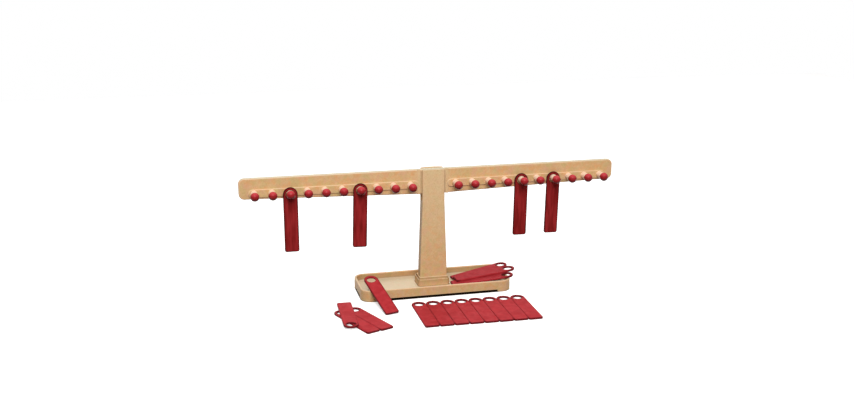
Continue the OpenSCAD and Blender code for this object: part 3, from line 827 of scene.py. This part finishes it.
def stem(x):
    """Turned profile of one stem with its root and tip. The end under the ball is marked as an edge, for a
    painted highlight.
    """
    rounded = rounded_path([(STEM_R, RAIL_FRONT), (STEM_R, STEM_END), (TIP_R, STEM_END)],
                           [0, STEM_ROUND, 0], closed=False, hold=HOLD)
    profile = [(POLE_R, STEM_ROOT), (ROOT_R, STEM_ROOT), (ROOT_R, RAIL_FRONT), *rounded,
               (TIP_R, TIP_END), (POLE_R, TIP_END)]
    marks = [float(place <= STEM_END + STEM_ROUND) for _, place in profile]
    return loft(lathe(profile, (x, PEG_Z)), marks=marks)


def ball(x):
    """Turned profile of one ball: a circle cut off by the flat that meets the stem, with the tip's hole."""
    flat = STEM_END - BALL_Y
    angles = np.linspace(-math.pi / 2, math.asin(flat / BALL_R), 30)
    profile = [(max(BALL_R * math.cos(a), POLE_R), BALL_Y + BALL_R * math.sin(a)) for a in angles]
    hole_r, hole_end = TIP_R + TIP_GAP, TIP_END - TIP_GAP
    profile += [(hole_r, STEM_END), (hole_r, hole_end), (POLE_R, hole_end)]
    return loft(lathe(profile, (x, PEG_Z)))


def pegs(wood, lacquer):
    """Ten stems and ten balls on each arm, at one pitch."""
    numbers = range(1, PEGS + 1)
    for side, sign in (("left", -1), ("right", 1)):
        stems = [stem(sign * peg_x(i)) for i in numbers]
        piece("stems_" + side, stems, wood, "balance_beam", ["peg_stems_" + side])
        for i in numbers:
            parts = [ball(sign * peg_x(i))]
            piece(f"peg_ball_{side}_{i}", parts, lacquer, "balance_beam", [f"ball_{side}_{i}"])


# Weights

def plate_ring(inset):
    """Outline of a weight: a half circle at the hole's end, straight sides and a square end."""
    half = PLATE_W / 2 - inset
    turn = np.linspace(0, math.pi, HALF_TURN_POINTS)
    round_end = np.stack([half * np.cos(turn), half * np.sin(turn)], axis=1)
    reach = -PLATE_REACH + inset
    r = max(PLATE_CORNER_R - inset, 0.1)
    square = rounded_path([(-half, 0), (-half, reach), (half, reach), (half, 0)], [0, r, r, 0],
                          closed=False)[1:-1]
    left = np.array([[-half, -SIDE_FADE], [-half, SIDE_FADE - PLATE_REACH]])
    right = left[::-1] * [-1, 1]
    return np.vstack([round_end, left, square, right])


def plate_parts(side_mark, hole_mark=1.0):
    """One weight lying flat, its hole about Z: rings from the hole over the top, round the edge and back
    below. The hole, and the long sides between their ends, have edge marks of their own."""
    edge = plate_ring(0)
    angle = np.linspace(0, math.pi, HALF_TURN_POINTS)
    below = np.linspace(math.pi, 2 * math.pi, len(edge) - HALF_TURN_POINTS + 2)[1:-1]
    angle = np.concatenate([angle, below])
    circle = np.stack([np.cos(angle), np.sin(angle)], axis=1)
    over = rounded_path([(DARK_IN, 0), (0, 0), (0, PLATE_T), (DARK_IN, PLATE_T)],
                        [0, PLATE_ROUND, PLATE_ROUND, 0], closed=False, hold=PLATE_HOLD)
    rings = [flat_ring(circle * (HOLE_R + grow), z) for grow, z in over]
    rings += [flat_ring(plate_ring(inset), z) for inset, z in over[::-1]]
    near = np.where(over[:, 0] >= DARK_IN, 0.0, 1.0)
    on_side = (edge[:, 1] < 1 - SIDE_FADE) & (edge[:, 1] > SIDE_FADE - 1 - PLATE_REACH)
    share = np.where(on_side, side_mark, 1.0)
    marks = np.concatenate([near[:, None] * np.full(len(edge), hole_mark), near[:, None] * share])
    return loft(rings, closed=True, marks=marks)


def turned(points, axis, degrees):
    """Points turned about an axis through the origin."""
    a = math.radians(degrees)
    c, s = math.cos(a), math.sin(a)
    matrix = {"x": [[1, 0, 0], [0, c, -s], [0, s, c]],
              "y": [[c, 0, s], [0, 1, 0], [-s, 0, c]],
              "z": [[c, -s, 0], [s, c, 0], [0, 0, 1]]}[axis]
    return points @ np.array(matrix).T


def hanging(points, x, y, swing):
    """Weight on a stem: stood up, hung by its hole and swung about the stem."""
    points = turned(points, "x", 90) - [0, 0, HANG_DROP]
    return turned(points, "y", swing) + [x, y + PLATE_T / 2, PEG_Z]


def lying(points, place, z, heading):
    """Weight flat on the table or on others: turned to its heading and set with its hole at a place."""
    return turned(points, "z", heading) + [place[0], place[1], z]


def leaning(points):
    """Weight over the tray's front wall: its square end stays on the table while it is turned to its
    heading and tipped up about that end."""
    points = points + [PLATE_W / 2, PLATE_REACH, 0]
    points = turned(turned(points, "z", LEAN_TURN), "x", LEAN_ANGLE)
    return points + [LEAN_X, LEAN_Y, REST_GAP]


def fanned(points, place, level, heading):
    """Weight in the right compartment: turned to its heading, stacked, and tipped about the tray's end
    wall so that its square end rests on the floor."""
    points = turned(points, "z", heading) + [place[0] - FAN_EDGE_X, place[1], level * PLATE_T]
    return turned(points, "y", -FAN_SLOPE) + [FAN_EDGE_X, 0, RIM_Z + REST_GAP]


def weights(mat):
    """Every weight: the flat form carried to its place. The painted shade at the edges is weaker where
    weights lie side by side, and the fan gets painted shade all over for the tray's shade."""
    flat_points, faces, soft_marks = plate_parts(TOUCHING_SIDE)
    free_marks = plate_parts(FREE_SIDE, FREE_HOLE)[2]
    fan_marks = np.maximum(plate_parts(FAN_SIDE)[2], FAN_LEAST)
    places = {}
    for arm, sign, peg, line, swing in HANGING:
        places[f"hanging_{arm}_{peg}"] = hanging(flat_points, sign * peg_x(peg), line, swing)
    step = (PLATE_W + SIDE_GAP) / math.cos(ROW_SLOPE - math.radians(ROW_HEADING))
    for i in range(ROW_COUNT):
        place = ROW_START + i * step * np.array([math.cos(ROW_SLOPE), math.sin(ROW_SLOPE)])
        places[f"row_{i + 1}"] = lying(flat_points, place, 0, ROW_HEADING)
    pile = math.radians(PILE_HEADING)
    across = (PLATE_W + SIDE_GAP) * np.array([math.cos(pile), math.sin(pile)])
    forward = PILE_SHIFT * np.array([math.sin(pile), -math.cos(pile)])
    places["pile_left"] = lying(flat_points, PILE_START, 0, PILE_HEADING)
    places["pile_right"] = lying(flat_points, PILE_START + across + forward, 0, PILE_HEADING)
    places["pile_top"] = lying(flat_points, PILE_TOP, PLATE_T, PILE_TOP_HEADING)
    places["leaning"] = leaning(flat_points)
    places["fan_front"] = fanned(flat_points, FAN_FRONT, 0, FAN_HEADINGS[0])
    places["fan_back"] = fanned(flat_points, FAN_BACK, 0, FAN_HEADINGS[1])
    places["fan_top"] = fanned(flat_points, FAN_TOP, 1, FAN_HEADINGS[2])
    marks = {"hanging": free_marks, "leaning": free_marks, "row": soft_marks, "pile": soft_marks,
             "fan": fan_marks}
    for name, points in places.items():
        group = name.split("_")[0]
        body = name if group == "hanging" else "loose_" + name
        parts = [(points, faces, marks[group])]
        piece("weight_" + name + "_plate", parts, mat, body, ["weight_" + name])


# Everything
board = fibre_board()
tray(board)
front_shell(board)
rear_cover(board)
beam(board)
pegs(stem_wood(), ball_lacquer())
weights(weight_plastic())

steel = turned_steel()
for name in ("pivot_pin", "cover_screws", "base_screws"):
    node = frame["nodes"][name]
    node.data.materials.clear()
    node.data.materials.append(steel)


# Floor and surroundings
FLOOR_DROP = 0.0003
FLOOR_HALF = 2.2
FLOOR_LIFT = 0.5
SHADE_IN, SHADE_OUT = 0.5, 1.0
WORLD_STRENGTH = 0.3


def seen_rays(tree):
    """1 for the rays that show the white ground, which are the camera's, reflected and passing ones, and 0
    for those that gather its light."""
    path = add(tree, "ShaderNodeLightPath").outputs
    seen = path["Is Camera Ray"]
    for ray in ("Is Glossy Ray", "Is Transmission Ray"):
        seen = add(tree, "ShaderNodeMath", {0: seen, 1: path[ray]}, operation="MAXIMUM").outputs[0]
    return seen


def floor():
    """Plain floor, a dull grey for the light that it gives back. The camera and reflections see white
    paper, lifted a little so that only a soft shadow stays on it, and painted shade, a dark brown, under
    the tray between its feet, within the rounded rectangle whose distance from its core is at most the
    tray's corner."""
    mesh = bpy.data.meshes.new("floor")
    corners = [(x * FLOOR_HALF, y * FLOOR_HALF, -FLOOR_DROP)
               for x, y in ((-1, -1), (1, -1), (1, 1), (-1, 1))]
    mesh.from_pydata(corners, [], [(0, 1, 2, 3)])
    obj = bpy.data.objects.new("floor", mesh)
    bpy.context.scene.collection.objects.link(obj)
    mat = bpy.data.materials.new("floor_paper_white")
    mat.use_nodes = True
    tree = mat.node_tree
    tree.nodes.clear()
    dull, paper, shade = (add(tree, "ShaderNodeBsdfDiffuse", {"Color": linear(code)}).outputs[0]
                          for code in ("#7C7A77", "#F6F5F3", "#2A1C10"))
    core = ((TRAY_W / 2 - TRAY_R) * MM, (TRAY_D / 2 - TRAY_R) * MM, 1.0)
    place = add(tree, "ShaderNodeTexCoord").outputs["Object"]
    beyond = add(tree, "ShaderNodeVectorMath", {0: place}, operation="ABSOLUTE").outputs[0]
    beyond = add(tree, "ShaderNodeVectorMath", {0: beyond, 1: core}, operation="SUBTRACT").outputs[0]
    beyond = add(tree, "ShaderNodeVectorMath", {0: beyond, 1: (0, 0, 0)}, operation="MAXIMUM").outputs[0]
    away = add(tree, "ShaderNodeVectorMath", {0: beyond}, operation="LENGTH").outputs["Value"]
    clear = add(tree, "ShaderNodeMapRange", {"Value": away, "From Min": (TRAY_R - SHADE_IN) * MM,
                                             "From Max": (TRAY_R + SHADE_OUT) * MM}).outputs["Result"]
    lift = add(tree, "ShaderNodeEmission", {"Color": (1, 1, 1, 1), "Strength": FLOOR_LIFT}).outputs[0]
    lifted = add(tree, "ShaderNodeAddShader", {0: paper, 1: lift}).outputs[0]
    # Painted shade: dark brown for the camera under the tray, in place of the lifted paper
    shown = add(tree, "ShaderNodeMixShader", {0: clear, 1: shade, 2: lifted}).outputs[0]
    mix = add(tree, "ShaderNodeMixShader", {0: seen_rays(tree), 1: dull, 2: shown}).outputs[0]
    add(tree, "ShaderNodeOutputMaterial", {"Surface": mix})
    mesh.materials.append(mat)


def world():
    """Even pale surroundings, seen white behind the object."""
    surroundings = bpy.data.worlds.new("studio")
    surroundings.use_nodes = True
    tree = surroundings.node_tree
    tree.nodes.clear()
    strength = add(tree, "ShaderNodeMapRange", {"Value": seen_rays(tree), "To Min": WORLD_STRENGTH,
                                                "To Max": 1.0}).outputs["Result"]
    light = add(tree, "ShaderNodeBackground", {"Color": (1, 1, 1, 1), "Strength": strength}).outputs[0]
    add(tree, "ShaderNodeOutputWorld", {"Surface": light})
    bpy.context.scene.world = surroundings


# Lamps in metres and watts: name, place, diameter, power and whether reflections show it
LAMP_TARGET = (0, 0, 0.1)
LAMPS = (("key", (-0.3, -2.2, 2.1), 1.6, 80, True),
         ("glint", (-0.9, -1.0, 2.6), 0.8, 11, True),
         ("behind", (0.4, 2.6, 0.9), 1.6, 46, False))


def area_light(name, place, size, power, mirrored):
    """Round soft lamp aimed at the object."""
    light = bpy.data.lights.new(name, "AREA")
    light.shape = "DISK"
    light.size = size
    light.energy = power
    obj = bpy.data.objects.new(name, light)
    obj.location = place
    obj.rotation_euler = (Vector(LAMP_TARGET) - Vector(place)).to_track_quat("-Z", "Y").to_euler()
    obj.visible_glossy = mirrored
    bpy.context.scene.collection.objects.link(obj)


# The camera was fitted to the peg row, the tray and the row of weights
IMAGE_WIDTH = 854
FOCAL_PIXELS = 1041.3
SENSOR = 36.0
CAMERA_PLACE = (-0.4034, -1.6698, 0.6199)
CAMERA_YAW = 13.294
CAMERA_PITCH = 15.316


def camera():
    """Camera at the photograph's place, turned to the right by its yaw and down by its pitch."""
    data = bpy.data.cameras.new("camera")
    data.sensor_fit = "HORIZONTAL"
    data.sensor_width = SENSOR
    data.lens = FOCAL_PIXELS / IMAGE_WIDTH * SENSOR
    data.clip_end = 50
    obj = bpy.data.objects.new("camera", data)
    obj.location = CAMERA_PLACE
    obj.rotation_euler = (math.radians(90 - CAMERA_PITCH), 0, math.radians(-CAMERA_YAW))
    bpy.context.scene.collection.objects.link(obj)
    bpy.context.scene.camera = obj


floor()
world()
for lamp in LAMPS:
    area_light(*lamp)
camera()
bpy.context.scene.view_settings.view_transform = "Standard"
